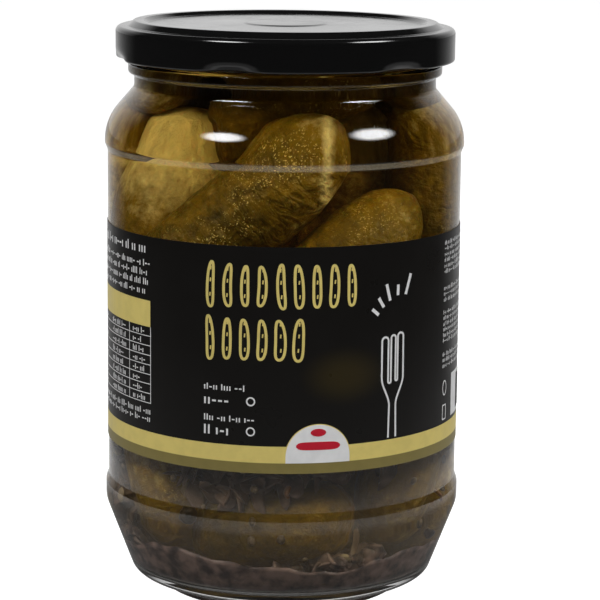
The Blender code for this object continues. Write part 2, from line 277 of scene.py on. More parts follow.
inside_wall = inside_profile[1:]
glass_clearance = 0.5 * mm
gherkin_rows = {
    # Azimuth, turn of the lean, height of the middle, lean, length, thickness, bow, distance from the glass.
    "upper_left": (-80, -40, 87.0, 17, 62, 28, 3, 0),
    "upper_front": (-25, -14, 96.6, 47, 64, 22.5, 5, 0),
    "upper_right": (13, 8, 79.5, 44, 66, 24, 5, 0),
    "upper_side": (80, 74, 88.5, 8, 66, 22, 3, 0),
    "upper_back_right": (122, 122, 86, 20, 64, 22.5, 4, 0),
    "upper_back": (170, 170, 88, 30, 66, 22, 5, 0),
    "upper_back_left": (-142, -142, 84, 30, 64, 22, 5, 0),
    "upper_left_rear": (-108, -108, 86, 10, 60, 21, 3, 0),
    "upper_core_a": (105, 105, 86, 8, 62, 21, 2, 18),
    "upper_core_b": (215, 215, 84, -14, 60, 21, 2, 21),
    "top_back": (180, 180, 123, 86, 52, 20, 4, 0.8),
    "top_left": (-112, -112, 121, 74, 46, 20, 4, 0),
    "top_right": (118, 112, 122.5, 98, 46, 19, 4, 0),
    "top_middle": (20, 20, 121, 70, 40, 19, 2, 13),
    "lower_front": (-5, -16, 22.5, 76, 38, 21, 3, 2),
    "lower_left": (-62, -62, 40, -18, 52, 21, 3, 1),
    "lower_right": (65, 65, 42, 14, 52, 21, 3, 1),
    "lower_side": (92, 92, 36, 12, 56, 21, 3, 0),
    "lower_back_right": (133, 133, 36, -20, 58, 22, 3, 0),
    "lower_back": (176, 176, 33, 24, 56, 21, 3, 0),
    "lower_back_left": (-144, -144, 37, -16, 58, 22, 3, 0),
    "lower_left_rear": (-104, -104, 36, 14, 56, 21, 3, 0),
}
gherkin_skins = {
    # Ripeness, from green to yellow; how much paler the upper end is, partly as it is riper and partly as
    # painted light falling from above; how warty, 1 being full of warts; and how square the ends are.
    "upper_left": (0.08, 1.0, 0.15, 3.6),
    "upper_front": (0.16, 0.20, 1.0, 4.0),
    "upper_right": (0.18, 0.12, 0.7, 4.0),
    "upper_side": (0.0, 0.52, 0.5, 3.6),
    "top_left": (0.35, 0.10, 0.4, 4.0),
    "top_right": (0.36, 0.20, 0.4, 4.0),
    "top_middle": (0.24, 0.05, 0.6, 4.0),
    "top_back": (0.24, 0.05, 0.6, 4.0),
    "lower_front": (0.06, 0.14, 0.2, 3.4),
    "lower_right": (0.20, -0.25, 0.3, 4.0),
}
usual_skin = (0.42, 0.12, 0.6, 4.5)


def wall_radius(heights):
    """Inner radius of the glass at each height, read off its rounded profile."""
    return np.interp(heights, inside_wall[:, 1], inside_wall[:, 0])


def seat(points, row):
    """Lean, turn and lift local points, then slide them out along their azimuth until they are the
    stated distance from the glass: room = wall(z) - |xy|."""
    azimuth, turn, lean = (math.radians(row[i]) for i in (0, 1, 3))
    height, inset = row[2] * mm, row[7] * mm
    x, y, z = points.T
    x, z = x * math.cos(lean) + z * math.sin(lean), z * math.cos(lean) - x * math.sin(lean) + height
    x, y = x * math.cos(turn) - y * math.sin(turn), x * math.sin(turn) + y * math.cos(turn)
    placed = np.stack([x, y, z], -1)
    outward = np.array([math.sin(azimuth), -math.cos(azimuth), 0])
    for _ in range(6):
        room = wall_radius(placed[:, 2]) - np.hypot(placed[:, 0], placed[:, 1])
        placed = placed + outward * (room.min() - glass_clearance - inset)
        placed[:, 2] += max(0.0, floor_height + glass_clearance - placed[:, 2].min())
    return placed


gherkin_grid = 110


def gherkin_mesh(row, wartiness, squareness, rng, rows=gherkin_grid, sides=gherkin_grid):
    """point(t, a) = (g cos a, g sin a + bow t^2, t length / 2), t from -1 to 1, with the girth
    g = thickness / 2 * sqrt(1 - |t|^squareness) * (1 + lobes) + warts, a wart being a Gaussian bump. The
    lower end is dimpled by the stem's scar, and the upper one carries the flower's nub, both Gaussians."""
    length, thickness, bow = row[4] * mm, row[5] * mm, row[6] * mm
    u = np.linspace(-1, 1, rows + 2)[1:-1]
    t = np.sign(u) * (1 - (1 - np.abs(u)) ** 1.8)
    a = np.arange(sides) * math.tau / sides
    t_grid, a_grid = np.meshgrid(t, a, indexing="ij")
    plain = np.sqrt(1 - np.abs(t_grid) ** squareness) * thickness / 2
    phase = rng.uniform(0, math.tau, 8)
    lobes = 0.012 * np.cos(3 * a_grid + phase[0]) + 0.007 * np.cos(5 * a_grid + phase[1] + 2 * t_grid)
    lobes += 0.014 * np.sin(4 * t_grid + phase[2]) * np.cos(a_grid + phase[3])
    lobes += 0.008 * np.sin(9 * t_grid + phase[4]) * np.cos(2 * a_grid + phase[5])
    lobes += 0.006 * np.sin(14 * t_grid + phase[6]) * np.cos(4 * a_grid + phase[7])
    girth = plain * (1 + lobes - 0.03)
    lump_count, wart_count = int(length / mm * 1.6), int(length / mm * 3.5)
    count = lump_count + wart_count
    wart_t = rng.uniform(-0.95, 0.95, count)
    wart_a = rng.uniform(0, math.tau, count)
    wart_size = np.append(rng.uniform(1.2, 2.6, lump_count), rng.uniform(0.35, 0.8, wart_count)) * mm
    steepness = np.append(rng.uniform(-0.15, 0.22, lump_count), rng.uniform(0.15, 0.4, wart_count))
    wart_rise = wart_size * steepness * (0.3 + 0.7 * wartiness)
    along = (t_grid[..., None] - wart_t) * length / 2
    around = ((a_grid[..., None] - wart_a + math.pi) % math.tau - math.pi) * girth[..., None]
    bump = np.exp(-(along ** 2 + around ** 2) / (2 * wart_size ** 2))
    girth = girth + (bump * wart_rise).sum(-1)
    # Wart tips, to be painted paler: partly their own colour, partly painted glints.
    tip = np.clip((bump[..., lump_count:] ** 6).sum(-1), 0, 1) * wartiness * 0.25
    local = np.stack([girth * np.cos(a_grid), girth * np.sin(a_grid), t_grid * length / 2], -1).reshape(-1, 3)
    local = np.concatenate([local, [[0, 0, -length / 2], [0, 0, length / 2]]])
    t_all = np.append(t_grid.ravel(), [-1, 1])
    from_axis = np.hypot(local[:, 0], local[:, 1])
    dimple = 1.1 * mm * np.exp(-(from_axis / (2.0 * mm)) ** 2) * (t_all < -0.8)
    nub = 0.4 * mm * np.exp(-(from_axis / (1.5 * mm)) ** 2) * (t_all > 0.8)
    local[:, 2] += dimple + nub
    end_scar = np.exp(-(from_axis / (2.2 * mm)) ** 2) * (np.abs(t_all) > 0.8)
    bent = local + np.stack([0 * t_all, bow * t_all ** 2, 0 * t_all], -1)
    return bent, tube_faces(rows, sides), local, np.append(tip.ravel(), [0, 0]), end_scar


def gherkin_skin():
    """Olive to amber skin: broad patches, lengthwise streaks, fine pale specks and paler wart tips. The
    specks and tips are partly the skin's own pale colour and partly painted glints.
    """
    skin, tree, shader = finish("gherkin_skin", Roughness=0.35, Specular_IOR_Level=0.06,
                                Subsurface_Weight=0.25, Subsurface_Scale=0.004)
    local = add(tree, "Attribute", attribute_name="local").outputs["Vector"]
    ripe = add(tree, "Attribute", attribute_name="ripeness").outputs["Fac"]
    tips = add(tree, "Attribute", attribute_name="wart").outputs["Fac"]
    warty = add(tree, "Attribute", attribute_name="wartiness").outputs["Fac"]
    patches = calc(tree, "SUBTRACT", noise(tree, 75.0, 3.0, 0.6, local), 0.5)
    grain = ranged(tree, noise(tree, 330.0, 4.0, 0.65, local), 0.25, 0.75, -0.22, 0.22)
    tone = calc(tree, "MULTIPLY_ADD", patches, ranged(tree, warty, 0.0, 1.0, 0.35, 1.0), 0.5)
    tone = calc(tree, "ADD", calc(tree, "ADD", tone, ripe), grain)
    colour = add(tree, "ValToRGB", {"Fac": ranged(tree, tone, 0.42, 1.5)})
    stops = colour.color_ramp.elements
    stops[0].position, stops[0].color = 0.0, (0.040, 0.024, 0.0015, 1)
    stops[1].position, stops[1].color = 1.0, (0.72, 0.57, 0.24, 1)
    middle = stops.new(0.45)
    middle.color = (0.16, 0.090, 0.004, 1)
    stretched = add(tree, "Mapping", {"Vector": local, "Scale": (1, 1, 0.12)})
    streaks = ranged(tree, noise(tree, 420.0, vector=stretched.outputs[0]), 0.3, 0.75, 0.82, 1.2)
    streaked = add(tree, "VectorMath", {0: colour.outputs["Color"], "Scale": streaks}, operation="SCALE")
    shaken = add(tree, "TexNoise", {"Vector": local, "Scale": 1100.0})
    shaken = add(tree, "VectorMath", {0: shaken.outputs["Color"], "Scale": 0.0014}, operation="SCALE")
    shaken = add(tree, "VectorMath", {0: shaken.outputs[0], 1: local}, operation="ADD")
    # Pale specks and paler wart tips: partly the skin's own pale colour, partly painted glints.
    specks = add(tree, "TexVoronoi", {"Vector": shaken.outputs[0], "Scale": 1600.0})
    specks = ranged(tree, specks.outputs["Distance"], 0.36, 0.16)
    where = ranged(tree, noise(tree, 85.0, 3.0, 0.7, local), 0.5, 0.6)
    pale = calc(tree, "MULTIPLY_ADD", calc(tree, "MULTIPLY", specks, where), 0.8, tips, clamp=True)
    pale = calc(tree, "MULTIPLY", pale, warty)
    base = add(tree, "Mix", {"Factor": pale, "A": streaked.outputs[0], "B": (0.62, 0.46, 0.13, 1)},
               data_type="RGBA")
    scar = add(tree, "Attribute", attribute_name="end_scar").outputs["Fac"]
    base = add(tree, "Mix", {"Factor": scar, "A": base.outputs["Result"], "B": (0.10, 0.055, 0.016, 1)},
               data_type="RGBA")
    tree.links.new(base.outputs["Result"], shader.inputs["Base Color"])
    bump = bumped(tree, noise(tree, 520.0, 4.0, 0.6, local), 0.8, 0.0011)
    creased = add(tree, "Mapping", {"Vector": local, "Scale": (1, 1, 2.4)})
    creases = add(tree, "TexNoise", {"Vector": creased.outputs[0], "Scale": 130.0, "Detail": 3.0,
                                     "Roughness": 0.5, "Distortion": 0.9})
    bump = bumped(tree, calc(tree, "MULTIPLY", creases.outputs["Fac"], warty), 0.8, 0.0024, Normal=bump)
    tree.links.new(bump, shader.inputs["Normal"])
    return skin


def set_attribute(obj, name, values):
    """Stores one value or vector for each point of a mesh."""
    values = np.asarray(values, dtype=np.float32)
    kind, field = ("FLOAT", "value") if values.ndim == 1 else ("FLOAT_VECTOR", "vector")
    obj.data.attributes.new(name, kind, "POINT").data.foreach_set(field, values.ravel())


# A pale painted highlight crosses the upper front gherkin's raised end: its middle, half width and strength.
band_x, band_reach, band_gain = 9.6 * mm, 1.3 * mm, 0.5
skin = gherkin_skin()
replaced = ["gherkins"]
centre_lines = []
for number, (name, row) in enumerate(gherkin_rows.items()):
    ripeness, riper_end, wartiness, squareness = gherkin_skins.get(name, usual_skin)
    rng = np.random.default_rng(number)
    verts, faces, local, tip, end_scar = gherkin_mesh(row, wartiness, squareness, rng)
    verts = seat(verts, row)
    gherkin = piece("gherkin_" + name, verts, faces, skin, "gherkin_skin", replaces=replaced)
    middle_line = verts[:-2].reshape(gherkin_grid, gherkin_grid, 3).mean(1)[6:-6]
    centre_lines.append(np.append(middle_line, np.full((len(middle_line), 1), row[5] * mm / 2), 1))
    replaced = ()
    set_attribute(gherkin, "local", local + np.array([0.1 * number, 0, 0]))
    set_attribute(gherkin, "wart", tip)
    set_attribute(gherkin, "wartiness", np.full(len(local), wartiness))
    set_attribute(gherkin, "end_scar", end_scar)
    # The tone carries painted light as well as ripeness: the upper end is painted paler where light falls
    # from above.
    ripe = ripeness + riper_end * local[:, 2] / (row[4] * mm / 2)
    # The painted highlight on the upper front gherkin is added to its tone.
    if name == "upper_front":
        ripe += band_gain * np.exp(-((verts[:, 0] - band_x) / band_reach) ** 2)
    set_attribute(gherkin, "ripeness", ripe)

# Bits.
# What floats and settles between the gherkins: onion slivers, mustard seeds, dill, peppercorns and a
# few pale and orange crumbs. Each kind is one piece made of many small closed shapes, most at the bottom.

centre_lines = np.concatenate(centre_lines)
wall_gap, floor_gap = 0.25 * mm, 0.1 * mm


def free_places(count, lowest, highest, settle, size, rng):
    """Places close inside the glass and clear of the gherkins: height falls off as a power of an even
    draw, depth from the glass as its square, and a place too near a gherkin's middle line is dropped."""
    draw = rng.uniform(size=(count * 12, 4))
    height = lowest + (highest - lowest) * draw[:, 0] ** settle
    radius = wall_radius(height) - size - 9 * mm * draw[:, 1] ** 2
    angle = draw[:, 2] * math.tau
    places = np.stack([radius * np.sin(angle), -radius * np.cos(angle), height], -1)
    away = np.linalg.norm(places[:, None] - centre_lines[None, :, :3], axis=-1) - centre_lines[None, :, 3]
    return places[away.min(1) > min(size * 0.5, 0.8 * mm)][:count]


def turns(count, rng):
    """One random rotation for each bit, from three random angles, as count matrices."""
    a, b, c = rng.uniform(0, math.tau, (3, count))
    zero, one = np.zeros(count), np.ones(count)
    first = np.stack([np.cos(a), -np.sin(a), zero, np.sin(a), np.cos(a), zero, zero, zero, one], -1)
    second = np.stack([one, zero, zero, zero, np.cos(b), -np.sin(b), zero, np.sin(b), np.cos(b)], -1)
    third = np.stack([np.cos(c), -np.sin(c), zero, np.sin(c), np.cos(c), zero, zero, zero, one], -1)
    return first.reshape(-1, 3, 3) @ second.reshape(-1, 3, 3) @ third.reshape(-1, 3, 3)


def bits(name, count, spread, size, half_width, half_thickness, curl, material, seed, rows=9, sides=8):
    """Many curled lozenges: point(t, a) = (w cos a, h sin a + curl t^2, t l), with w and h the half width
    and thickness times sqrt(1 - t^4), each scaled, turned at random and put at a free place."""
    rng = np.random.default_rng(seed)
    places = free_places(count, *spread, size * 0.5, rng)
    count = len(places)
    t = np.linspace(-1, 1, rows + 2)[1:-1, None]
    a = np.arange(sides) * math.tau / sides
    girth = np.sqrt(1 - t ** 4)
    wave = 1 + 0.15 * np.sin(5 * t + 1)
    shape = np.stack([half_width * girth * wave * np.cos(a),
                      half_thickness * girth * np.sin(a) + curl * t ** 2,
                      0 * girth * a + t * size / 2], -1).reshape(-1, 3)
    shape = np.concatenate([shape, [[0, curl, -size / 2], [0, curl, size / 2]]])
    grown = shape[None] * rng.uniform(0.6, 1.15, (count, 1, 3))
    verts = np.einsum("nij,nkj->nki", turns(count, rng), grown) + places[:, None]
    flat = verts.reshape(-1, 3)
    room = wall_radius(flat[:, 2]) - wall_gap
    radius = np.hypot(flat[:, 0], flat[:, 1])
    flat[:, :2] *= np.minimum(1, room / np.maximum(radius, mm))[:, None]
    flat[:, 2] = np.maximum(flat[:, 2], floor_height + floor_gap)
    starts = np.arange(count)[:, None, None] * len(shape)
    faces = [(part[None] + starts).reshape(-1, part.shape[1]) for part in tube_faces(rows, sides)]
    return piece(name, flat, faces, material, "spice")


def bit_finish(name, dark, light, scale):
    """A wet, mottled finish: noise on object coordinates between two tones."""
    material, tree, shader = finish(name, Roughness=0.35, Specular_IOR_Level=0.1)
    mottle = noise(tree, scale)
    tree.links.new(bumped(tree, mottle, 0.6, 0.0005), shader.inputs["Normal"])
    ramp = add(tree, "ValToRGB", {"Fac": mottle})
    stops = ramp.color_ramp.elements
    stops[0].position, stops[0].color = 0.35, (*dark, 1)
    stops[1].position, stops[1].color = 0.65, (*light, 1)
    tree.links.new(ramp.outputs["Color"], shader.inputs["Base Color"])
    return material


onion = bit_finish("onion", (0.045, 0.028, 0.024), (0.14, 0.092, 0.072), 250.0)
mustard = bit_finish("mustard_seed", (0.04, 0.026, 0.014), (0.10, 0.068, 0.036), 300.0)
dill = bit_finish("dill", (0.03, 0.022, 0.012), (0.09, 0.065, 0.035), 200.0)
pepper = bit_finish("peppercorn", (0.008, 0.006, 0.004), (0.04, 0.028, 0.018), 700.0)
pale = bit_finish("garlic", (0.18, 0.13, 0.075), (0.27, 0.20, 0.12), 300.0)
orange = bit_finish("carrot", (0.16, 0.07, 0.03), (0.24, 0.12, 0.05), 300.0)

# Lowest and highest place, and how strongly they settle.
bottom, middle_low = (9 * mm, 30 * mm, 2.2), (9 * mm, 45 * mm, 1.6)
low_half, floor_layer = (9 * mm, 40 * mm, 1.3), (8 * mm, 18 * mm, 1.2)

# Dregs.
# Ground spice and fine onion that has settled on the floor of the jar, heaped at the glass and drifted
# higher at the left, the right and the back.

dregs_sides, dregs_rings, skirt_rings = 160, 40, 6
dregs_depth, dregs_heap = 3.2, 2.6
dregs_foot = floor_height + 0.15 * mm
around = np.arange(dregs_sides) * math.tau / dregs_sides
out = np.linspace(0, 1, dregs_rings + 1)[1:, None]
swell = np.zeros((dregs_rings, dregs_sides))
rng = np.random.default_rng(12)
for waves, size in ((2, 1.3), (5, 1.2), (8, 0.9), (13, 0.5), (21, 0.4), (34, 0.3)):
    phase = rng.uniform(0, math.tau, 2)
    swell += size * np.cos(waves * around + phase[0] + 4 * out) * np.sin(waves * 0.9 * out + phase[1])
for azimuth, reach, size in ((-48, 34, 5.5), (78, 30, 3.5), (170, 50, 3.0)):
    away = (np.degrees(around) - azimuth + 180) % 360 - 180
    swell += size * np.exp(-(away / reach) ** 2) * out ** 2
top_height = floor_height + (dregs_depth + dregs_heap * out ** 3 + swell * out) * mm
top_radius = out * (wall_radius(top_height[-1]) - wall_gap)
skirt_height = top_height[-1] + np.linspace(0, 1, skirt_rings + 1)[1:, None] * (dregs_foot - top_height[-1])
height = np.concatenate([top_height, skirt_height])
radius = np.concatenate([top_radius, wall_radius(skirt_height) - wall_gap])
rings = np.stack([radius * np.sin(around), -radius * np.cos(around), height], -1).reshape(-1, 3)
poles = [[0, 0, top_height[0].mean()], [0, 0, dregs_foot]]
dregs_faces = [part[:, ::-1] for part in tube_faces(dregs_rings + skirt_rings, dregs_sides)]
dregs = bit_finish("dregs", (0.022, 0.014, 0.012), (0.150, 0.098, 0.080), 300.0)
piece("dregs", np.concatenate([rings, poles]), dregs_faces, dregs, "spice")

# The bits: how many, where, length, half width, half thickness and curl.
bits("onion_slivers", 480, low_half, 13 * mm, 2.4 * mm, 0.5 * mm, 1.6 * mm, onion, 1)
bits("settled_onion", 700, floor_layer, 6 * mm, 2.2 * mm, 0.8 * mm, 1.2 * mm, dregs, 7)
bits("mustard_seeds", 60, middle_low, 2.1 * mm, 1.0 * mm, 1.0 * mm, 0.0, mustard, 2, rows=7)
bits("dill_threads", 200, middle_low, 12 * mm, 0.2 * mm, 0.16 * mm, 3.0 * mm, dill, 3, rows=13, sides=5)
bits("peppercorns", 10, bottom, 4.4 * mm, 2.1 * mm, 2.1 * mm, 0.0, pepper, 4, rows=11, sides=12)
bits("garlic_crumbs", 30, middle_low, 4.2 * mm, 1.5 * mm, 0.6 * mm, 0.5 * mm, pale, 5)
bits("carrot_crumbs", 5, middle_low, 5 * mm, 1.6 * mm, 0.7 * mm, 0.5 * mm, orange, 6)

# Brine.
# Slightly cloudy yellow-brown vinegar brine, up to just under the rim. It reaches a little into the
# glass, so that no film of air shows between them.

into_glass = 0.4 * mm
brine_level = 137.5 * mm
brine_tint = (0.84, 0.70, 0.20)
brine_density = 45
brine_cloud = (0.82, 0.61, 0.43)
cloud_low, cloud_high = 15, 0.5
cloudy_below, clear_above = 24 * mm, 46 * mm
brine, tree = clear_material("brine", brine_ior, (1, 1, 1), wet=True)
absorb = add(tree, "VolumeAbsorption", {"Color": (*brine_tint, 1), "Density": brine_density})
coords = add(tree, "TexCoord")
height = add(tree, "SeparateXYZ", {0: coords.outputs["Object"]})
settled = ranged(tree, height.outputs["Z"], cloudy_below, clear_above, cloud_low, cloud_high)
cloud = add(tree, "VolumeScatter", {"Color": (*brine_cloud, 1), "Density": settled})
output(tree, add(tree, "AddShader", {0: absorb.outputs[0], 1: cloud.outputs[0]}).outputs[0], "Volume")
brine_corners = [
    (0, floor_height - into_glass, 0), (36.2 * mm, floor_height - into_glass, 5 * mm),
    (bore_radius + into_glass, 22.0 * mm, 8 * mm), (bore_radius + into_glass, 118.4 * mm, 13 * mm),
    (mouth_radius + into_glass, 126.4 * mm, 3 * mm), (mouth_radius + into_glass, brine_level, 0),
    (0, brine_level, 0),
]
verts, faces = turned(rounded(brine_corners)[::-1], jar_sides)
piece("brine", verts, faces, brine, "brine")

# Lid.
# Tinplate with black lacquer, pressed in one piece: a sunk panel with a round button, a raised bead,
# a ledge, a skirt with a rolled edge, and six places where the edge is pressed in to grip the thread.

lid_sides = 360
lid_top, lid_bottom = 144.1 * mm, 134.5 * mm
lid_radius = 42.5 * mm
panel_height = 143.3 * mm
button_height = panel_height + 0.25 * mm
ledge_height = 142.8 * mm
sheet = 0.55 * mm
lug_azimuth, lug_pitch = -18.0, 60.0
lug_depth, lug_height = 1.7 * mm, 2.9 * mm
lug_full, lug_none = 1.5, 13.0
lid_corners = [
    (0, button_height, 0), (9.6 * mm, button_height, 0.6 * mm), (10.6 * mm, panel_height, 0.6 * mm),
    (34.2 * mm, panel_height, 0.5 * mm), (35.6 * mm, lid_top, 0.6 * mm), (37.9 * mm, lid_top, 0.9 * mm),
    (39.5 * mm, ledge_height, 0.6 * mm), (lid_radius, ledge_height - 0.1 * mm, 1.3 * mm),
    (lid_radius, 139.8 * mm, 0), (lid_radius, 138.4 * mm, 0), (lid_radius, lid_bottom + lug_height, 0),
    (lid_radius, 136.5 * mm, 0), (lid_radius, 136.0 * mm, 0),
    (lid_radius, lid_bottom, 0.7 * mm), (41.0 * mm, lid_bottom, 0.6 * mm), (41.0 * mm, 136.0 * mm, 0.3 * mm),
    (lid_radius - sheet, 136.2 * mm, 0.3 * mm), (lid_radius - sheet, 142.15 * mm, 0.8 * mm),
    (39.2 * mm, 142.25 * mm, 0), (38.3 * mm, 143.25 * mm, 0), (35.6 * mm, 143.25 * mm, 0),
    (34.8 * mm, panel_height - sheet, 0), (0, panel_height - sheet, 0),
]
verts, faces = turned(rounded(lid_corners), lid_sides)
azimuth = np.degrees(np.arctan2(verts[:, 0], -verts[:, 1]))
from_lug = np.abs((azimuth - lug_azimuth + lug_pitch / 2) % lug_pitch - lug_pitch / 2)
pressed = np.clip((lug_none - from_lug) / (lug_none - lug_full), 0, 1)
pressed = pressed * pressed * (3 - 2 * pressed)
below = np.clip((lid_bottom + lug_height - verts[:, 2]) / lug_height, 0, None)
inward = lug_depth * pressed * below ** 1.7
verts[:, :2] *= 1 - (inward / np.maximum(np.hypot(verts[:, 0], verts[:, 1]), mm))[:, None]
lacquer, tree, shader = finish("black_lacquer", Base_Color=(0.003, 0.003, 0.003, 1))
smears = ranged(tree, noise(tree, 60.0, 4.0, 0.7), 0.3, 0.7, 0.07, 0.16)
tree.links.new(smears, shader.inputs["Roughness"])
tree.links.new(bumped(tree, noise(tree, 900.0), 1.0, 0.000008), shader.inputs["Normal"])
piece("lid_shell", verts, faces, lacquer, "lid_lacquer", replaces=["lid"])

# Label.
# A thin black film wound round the straight wall, its ends a finger apart at the back, with a gold
# band at its foot. The print is raised ink: plain gherkin outlines, dashes, a fork and simple boxes.

film_radius = panel_radius + 0.06 * mm
film_thickness = 0.10 * mm
film_bottom, band_bottom, band_top, film_top = 38.8 * mm, 41.4 * mm, 45.5 * mm, 94.0 * mm
film_end = math.radians(172.5)
ink_radius = film_radius + film_thickness


def wrapped(arcs, heights, radius):
    """Points on the jar from lengths round it, with R the ink's radius:
    (r sin(arc / R), -r cos(arc / R), height)."""
    angle = np.asarray(arcs) / ink_radius
    return np.stack([radius * np.sin(angle), -radius * np.cos(angle), np.asarray(heights)], -1)


def strip(first, second, low=ink_radius - 0.02 * mm, high=ink_radius + 0.04 * mm):
    """A closed thin band between two edges on the jar, each a row of (arc, height), from radius low to
    radius high."""
    rows = np.stack([wrapped(*first.T, low), wrapped(*second.T, low),
                     wrapped(*second.T, high), wrapped(*first.T, high)], 1)
    cap = np.array([[0, 1, 2, 3]])
    far_cap = cap[:, ::-1] + (len(first) - 1) * 4
    return rows.reshape(-1, 3), [closed_rows(len(first), 4)[:, ::-1], cap, far_cap]


def joined(parts):
    """Several meshes in one: points stacked, faces moved on by the points before them."""
    starts = np.cumsum([0] + [len(verts) for verts, _ in parts])
    faces = [part + start for (_, group), start in zip(parts, starts) for part in group]
    return np.concatenate([verts for verts, _ in parts]), faces


def stroke(points, width):
    """A pen stroke along (arc, height) points: the line moved half a width to each side."""
    points = np.asarray(points, dtype=float)
    along = np.gradient(points, axis=0)
    side = np.stack([-along[:, 1], along[:, 0]], -1) * width / 2 / np.linalg.norm(along, axis=1)[:, None]
    return strip(points + side, points - side)


def block(left, right, bottom, top, columns=24):
    """A filled rectangle round the jar."""
    arcs = np.linspace(left, right, columns)
    return strip(np.stack([arcs, np.full(columns, top)], -1), np.stack([arcs, np.full(columns, bottom)], -1))


def printed(name, ink, parts):
    """One kind of print in one piece."""
    piece(name, *joined(parts), ink, "label_film", smooth=False)


film_columns = 320
film_arcs = np.linspace(-film_end, film_end, film_columns) * ink_radius
film, tree, shader = finish("label_film", Specular_IOR_Level=0.16)
gauge = noise(tree, 45.0, 4.0, 0.65)
tree.links.new(ranged(tree, gauge, 0.3, 0.7, 0.26, 0.40), shader.inputs["Roughness"])
tree.links.new(bumped(tree, gauge, 1.0, 0.00006), shader.inputs["Normal"])

# A brownish spot, where a gherkin behind the film shows through a little.
spot_place, spot_shape, spot_core, spot_reach = (0.0150, -0.0421, 0.0625), (1, 0.4, 1.5), 2 * mm, 12 * mm
spot = add(tree, "TexCoord").outputs["Object"]
spot = add(tree, "VectorMath", {0: spot, 1: spot_place}, operation="SUBTRACT")
spot = add(tree, "VectorMath", {0: spot.outputs[0], 1: spot_shape}, operation="MULTIPLY")
spot = add(tree, "VectorMath", {0: spot.outputs[0]}, operation="LENGTH")
spot = ranged(tree, spot.outputs["Value"], spot_reach, spot_core, interpolation_type="SMOOTHSTEP")
tint = add(tree, "Mix", {"Factor": spot, "A": (0.0062, 0.0056, 0.0050, 1), "B": (0.024, 0.018, 0.007, 1)},
           data_type="RGBA")
tree.links.new(tint.outputs["Result"], shader.inputs["Base Color"])
whole = [np.stack([film_arcs, np.full(film_columns, z)], -1) for z in (film_top, film_bottom)]
film_mesh = strip(*whole, film_radius, ink_radius)
piece("label_film", *film_mesh, film, "label_film", smooth=False, replaces=["label"])


def ink(name, colour, fade=0.93):
    """Satin print with a slight mottle: its colour falls to fade times itself where noise is low."""
    material, tree, shader = finish(name, Specular_IOR_Level=0.3)
    mottle = noise(tree, 350.0, 3.0)
    worn = ranged(tree, mottle, 0.35, 0.6, fade)
    tone = add(tree, "VectorMath", {0: colour, "Scale": worn}, operation="SCALE")
    tree.links.new(tone.outputs[0], shader.inputs["Base Color"])
    tree.links.new(ranged(tree, mottle, 0.0, 1.0, 0.32, 0.5), shader.inputs["Roughness"])
    return material


gold_ink = ink("gold_ink", (0.70, 0.57, 0.175))
dark_gold_ink = ink("dark_gold_ink", (0.21, 0.17, 0.053))
white_ink = ink("white_ink", (0.78, 0.78, 0.78))
red_ink = ink("red_ink", (0.5, 0.012, 0.03))
black_ink = ink("black_ink", (0.01, 0.01, 0.01))

band_ends = (film_arcs[0], film_arcs[-1])
printed("gold_band", gold_ink, [block(*band_ends, band_bottom, band_top, film_columns)])
printed("dark_gold_band", dark_gold_ink, [block(*band_ends, film_bottom, band_bottom, film_columns)])

# Two rows of small gherkins in outline, each with three ticks along its middle.
title_left, title_pitch = -19.4 * mm, 4.34 * mm
title_rows = ((84.5 * mm, 9), (71.5 * mm, 6))
title_height, title_width, pen = 11.6 * mm, 3.0 * mm, 0.68 * mm
rng = np.random.default_rng(40)
turn = np.linspace(0, math.tau, 37)
gherkin_outlines = []
for height, count in title_rows:
    for place in range(count):
        lean, bow = rng.uniform(-0.07, 0.07), rng.uniform(-0.8, 0.8) * mm
        tall = title_height * rng.uniform(0.86, 1.0) - pen
        wide = title_width * rng.uniform(0.72, 1.0) - pen
        up = np.sign(np.sin(turn)) * np.abs(np.sin(turn)) ** 0.7 * tall / 2
        across = np.sign(np.cos(turn)) * np.abs(np.cos(turn)) ** 0.8 * wide / 2
        across = across * (1 - 0.18 * np.sin(turn)) + up * lean + bow * (2 * up / title_height) ** 2
        middle = title_left + title_width / 2 + place * title_pitch
        gherkin_outlines.append(stroke(np.stack([middle + across, height + up], -1), pen))
        for tick in (-0.25, 0.05, 0.3):
            at = np.array([middle + tick * title_height * lean, height + tick * title_height])
            gherkin_outlines.append(stroke([at, at + [0.1 * mm, 0.9 * mm]], 0.35 * mm))
printed("gherkin_outlines", gold_ink, gherkin_outlines)


def ticks(left, right, height, size, rng):
    """A line of print as groups of thin upright and lying ticks, with a gap between groups."""
    parts = []
    start, thin = left, size * 0.2
    while start < right - size:
        for _ in range(rng.integers(2, 6)):
            if start > right - thin:
                break
            low, high = height - size / 2, height + size * (0.5 if rng.uniform() < 0.3 else 0.22)
            if rng.uniform() < 0.25:
                parts.append(block(start, start + thin * 2.2, low + size * 0.3, low + size * 0.5, 2))
                start += thin * 3.4
            else:
                parts.append(block(start, start + thin, low, high, 2))
                start += thin * 2.3
        start += size * 0.45
    return parts


